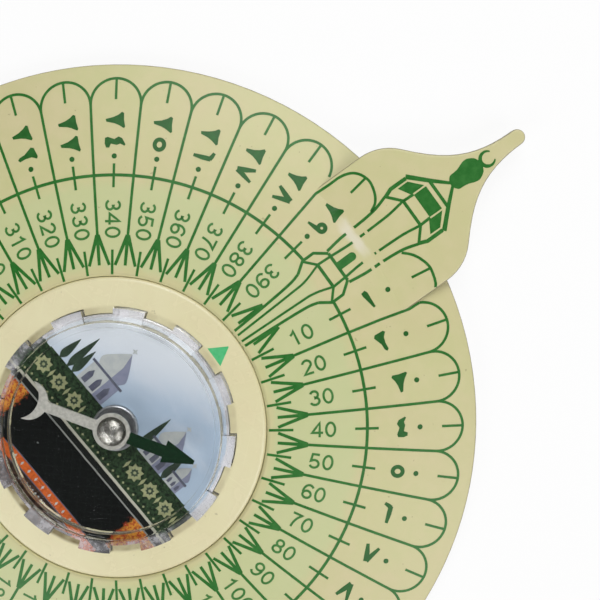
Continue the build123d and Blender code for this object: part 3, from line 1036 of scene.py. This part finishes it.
def pavilion(stone, shade, line, middle, half, wall, height):
    """A domed garden pavilion: wall with pointed windows, eaves, onion dome and a star on top."""
    eaves = sky_edge + wall
    drum = eaves + eaves_height
    dome = [(half * 0.8, 0), (half * 0.95, height * 0.25), (half * 0.55, height * 0.62), (0.05, height)]
    side = curve(dome, 5)
    right_side = [(middle + across, drum + up) for across, up in side]
    left_side = [(middle - across, drum + up) for across, up in side]
    fold = middle + half * pavilion_shade
    stone.draw(block(middle - half, middle + half, sky_edge, eaves), 1)
    stone.draw(right_side + left_side[::-1], 1)
    stone.draw(star(middle, drum + height + 0.5, 0.42, 4, 0.4), 1)
    shade.draw(block(fold, middle + half, sky_edge, eaves), 2)
    shade.draw(right_side + [(fold, drum + height * 0.5), (fold, drum)], 2)
    line.draw(block(middle - half * 1.15, middle + half * 1.15, eaves, eaves + 0.3), 3)
    window = half * 0.17
    sill, spring, peak = (sky_edge + 0.3, sky_edge + wall * 0.55, sky_edge + wall * 0.78)
    for post in (-0.62, 0.0, 0.62):
        across = middle + post * half
        left, right = (across - window, across + window)
        line.draw([(left, sill), (right, sill), (right, spring), (across, peak), (left, spring)], 3)


def cypress(leaf, middle, height):
    """A slender tree on the skyline."""
    side = curve([(0.12, 0), (0.52, height * 0.22), (0.36, height * 0.62), (0.03, height)], 4)
    outline = [(middle + across, sky_edge + up) for across, up in side]
    leaf.draw(outline + [(middle - across, sky_edge + up) for across, up in reversed(side)])


def row(step):
    """Places at even steps to both sides of the picture's middle."""
    count = int(picture_radius / step)
    return [index * step for index in range(-count, count + 1)]


def picture_print(skin):
    """Pavilions and trees on the skyline, a row of stars in the hedge and a tile border."""
    stone = CardPrint("card_stone_print", skin)
    shade = CardPrint("card_shade_print", skin)
    leaf = CardPrint("card_leaf_print", skin)
    line = CardPrint("card_line_print", skin)
    blossom = CardPrint("card_blossom_print", skin)
    for tree in cypresses:
        cypress(leaf, *tree)
    for house in pavilions:
        pavilion(stone, shade, line, *house)
    for across in row(star_step):
        blossom.draw(star(across, star_row, star_radius))
        leaf.draw(star(across, star_row, star_radius * 0.5), 1)
        blossom.draw(star(across, star_row, star_radius * 0.2), 2)
        blossom.draw(star(across + star_step / 2, star_row, 0.75, 2, 0.28))
    for across in row(bead_step):
        blossom.draw(star(across, bead_row, 0.17, 4, 0.7))
    for across in row(diamond_step):
        stone.draw(star(across, diamond_row, 0.3, 2, 0.5))
    for across in row(pebble_step):
        stone.draw(star(across, pebble_row, 0.15, 4, 0.7))
    for up in (night_edge, tile_edge):
        line.rule((-picture_radius, up), (picture_radius, up), rule_width)
    return stone, shade, leaf, line, blossom


# Assembly of the looks

def dress(node, material):
    """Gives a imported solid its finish."""
    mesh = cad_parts[node].data
    mesh.materials.clear()
    mesh.materials.append(material)


cream = srgb(208, 200, 152)
cream_shade = srgb(204, 202, 148)
# A darker band on the plate round the ring's seam, heavier towards bearing 60
ring_seam_darkening = [(ring_radius - 0.4, ring_radius + 0.6, 0.5, 60)]
# Painted shade in the recesses between the lens lugs, darkest towards bearing 190
lug_gap_shade = [(card_radius - 1.0, card_radius + 0.5, 1.6, 190)]
dress("dial_plate", moulded_plastic(
    "cream_dial_plastic", cream, cream_shade, 0.40, 0.5, ring_seam_darkening,
    wall_shade_from=disc_radius - 8, crease=crease_mark_reach[0], haze=(fan_inner - 0.8, scale_radius)))
dress("back_cover", moulded_plastic("cream_cover_plastic", cream_shade, cream, 0.58, 1.4))
dress("index_ring", moulded_plastic(
    "pale_ring_plastic", srgb(233, 226, 186), srgb(228, 220, 177), 0.26, 0.25, lug_gap_shade))
dress("capsule_base", moulded_plastic(
    "cream_capsule_plastic", srgb(226, 219, 180), srgb(206, 196, 152), 0.35, 0.3))
dress("needle_blade", needle_paint())
dress("needle_cap", needle_cap_metal())
dress("capsule_lens", clear_plastic("capsule_clear_plastic", (0.985, 0.99, 1.0, 1), 1.42, window_radius))
dress("bearing_jewel", clear_plastic("jewel_glass", (0.96, 0.80, 0.80, 1), 1.6))
dress("dial_card", picture_card())
metals = {
    "cover_screws": ("zinc_screw_steel", srgb(196, 197, 198), srgb(140, 138, 132), 0.3, 14.0),
    "retaining_ring": ("spring_clip_steel", srgb(176, 177, 178), srgb(120, 118, 114), 0.32, 6.0),
    "pivot_eyelet": ("turned_eyelet_metal", srgb(168, 170, 172), srgb(112, 112, 112), 0.3, 30.0),
    "pivot_pin": ("hardened_pin_steel", srgb(186, 186, 188), srgb(140, 140, 140), 0.22),
}
for metal_node, recipe in metals.items():
    dress(metal_node, bare_metal(*recipe))

plate_skin = Skin("dial_plate")
green_ink = print_ink("green_dial_ink", srgb(29, 104, 30), srgb(54, 124, 48))
soft_ink = print_ink("soft_green_dial_ink", srgb(50, 114, 46), srgb(80, 138, 70))
deep_ink = print_ink("deep_green_dial_ink", srgb(18, 88, 20), srgb(40, 108, 38))
emerald_ink = print_ink("emerald_mark_ink", srgb(78, 188, 120), srgb(112, 204, 146), 0.3)
western_print, eastern_print = numeral_print(plate_skin)
petal_print(plate_skin).finish(green_ink, "case", "dial_plastic")
western_print.finish(soft_ink, "case", "dial_plastic")
eastern_print.finish(deep_ink, "case", "dial_plastic")
minaret_print(plate_skin).finish(green_ink, "case", "dial_plastic")
index_mark(Skin("index_ring")).finish(emerald_ink, "ring", "ring_plastic")
card_inks = (
    ("card_stone_ink", srgb(190, 194, 190), srgb(168, 174, 178)),
    ("card_shade_ink", srgb(136, 140, 160), srgb(116, 120, 142)),
    ("card_leaf_ink", srgb(26, 44, 28), srgb(48, 70, 46)),
    ("card_line_ink", srgb(78, 80, 98), srgb(104, 108, 116)),
    ("card_blossom_ink", srgb(164, 166, 122), srgb(120, 128, 88)),
)
for card_print, recipe in zip(picture_print(Skin("dial_card")), card_inks):
    card_print.finish(print_ink(*recipe), "ring", "printed_card")


# Floor, light and camera

floor_half = 1600
floor_drop = 0.02
floor_show = 0.9
ambient = 0.09
backdrop_top = 0.5
softbox_reach = 420
softbox_size = 260
softbox_aim = (0, 10, 0)
softboxes = (
    ("key_softbox", -38, 46, 1.08),
    ("right_softbox", 75, 42, 0.66),
    ("near_softbox", 165, 38, 0.66),
)


def seen_directly(finish):
    """1 for rays of the camera, of gloss and through clear parts."""
    path = finish.add("LightPath", output="Is Camera Ray")
    return path | path.output("Is Glossy Ray") | path.output("Is Transmission Ray")


def white_floor():
    """A pale floor that shows almost white and keeps the object's shadow."""
    finish = new_finish("pale_floor")
    place = finish.place()
    paper = finish.noise(place, 0.4, 3.0)
    matt = finish.add("BsdfDiffuse", None, {
        "Color": finish.mix(paper, (0.90, 0.90, 0.90, 1), (0.93, 0.93, 0.93, 1))})
    white = finish.add("Emission", None, {"Color": (1, 1, 1, 1), "Strength": 1.0})
    shown = seen_directly(finish) * floor_show
    material = finish.surface(finish.blend(shown, matt, white))
    mesh = bpy.data.meshes.new("floor")
    reach = floor_half * MM
    corners = [(x, y, -floor_drop * MM) for x, y in block(-reach, reach, -reach, reach)]
    mesh.from_pydata(corners, [], [(0, 1, 2, 3)])
    mesh.materials.append(material)
    new_object("floor", mesh)


def studio_world():
    """A white backdrop round the floor where it is seen, and a dim even light elsewhere."""
    finish = Finish(bpy.data.worlds.new("studio"))
    soft = finish.add("Background", None, {"Color": (1, 1, 1, 1), "Strength": ambient})
    white = finish.add("Background", None, {"Color": (1, 1, 1, 1), "Strength": 1.0})
    rising = finish.part(finish.add("TexCoord", output="Generated"), "Z")
    backdrop = 1 - finish.rise(rising, backdrop_top, backdrop_top + 0.1)
    seen = seen_directly(finish) * backdrop
    bpy.context.scene.world = finish.surface(finish.blend(seen, soft, white), "OutputWorld")


def aimed(place, aim, up):
    """Placement of something that looks along its own -Z at a point, in millimetres."""
    place, aim = Vector(place) * MM, Vector(aim) * MM
    back = (place - aim).normalized()
    right = Vector(up).cross(back).normalized()
    top = back.cross(right)
    turned = Matrix((right, top, back)).transposed().to_4x4()
    return Matrix.Translation(place) @ turned


def softbox(name, bearing, elevation, power):
    """A large square lamp that faces the compass, at a bearing and an angle above the table."""
    lamp = bpy.data.lights.new(name, "AREA")
    lamp.shape = "SQUARE"
    lamp.size = softbox_size * MM
    lamp.energy = power
    angle = math.radians(elevation)
    flat = polar(bearing, softbox_reach * math.cos(angle))
    place = (flat.x, flat.y, softbox_reach * math.sin(angle))
    new_object(name, lamp).matrix_world = aimed(place, softbox_aim, (0, 0, 1))


def photo_camera():
    """A camera at the photograph's place, with the same side up."""
    data = bpy.data.cameras.new("photo_camera")
    data.lens = lens_length
    data.sensor_width = sensor_width
    data.clip_start, data.clip_end = (reach * MM for reach in camera_reach)
    camera = new_object("photo_camera", data)
    up = polar(picture_up_bearing, 1)
    camera.matrix_world = aimed(camera_place, camera_aim, (up.x, up.y, 0))
    bpy.context.scene.camera = camera


white_floor()
studio_world()
for recipe in softboxes:
    softbox(*recipe)
photo_camera()
bpy.context.scene.view_settings.view_transform = "Standard"
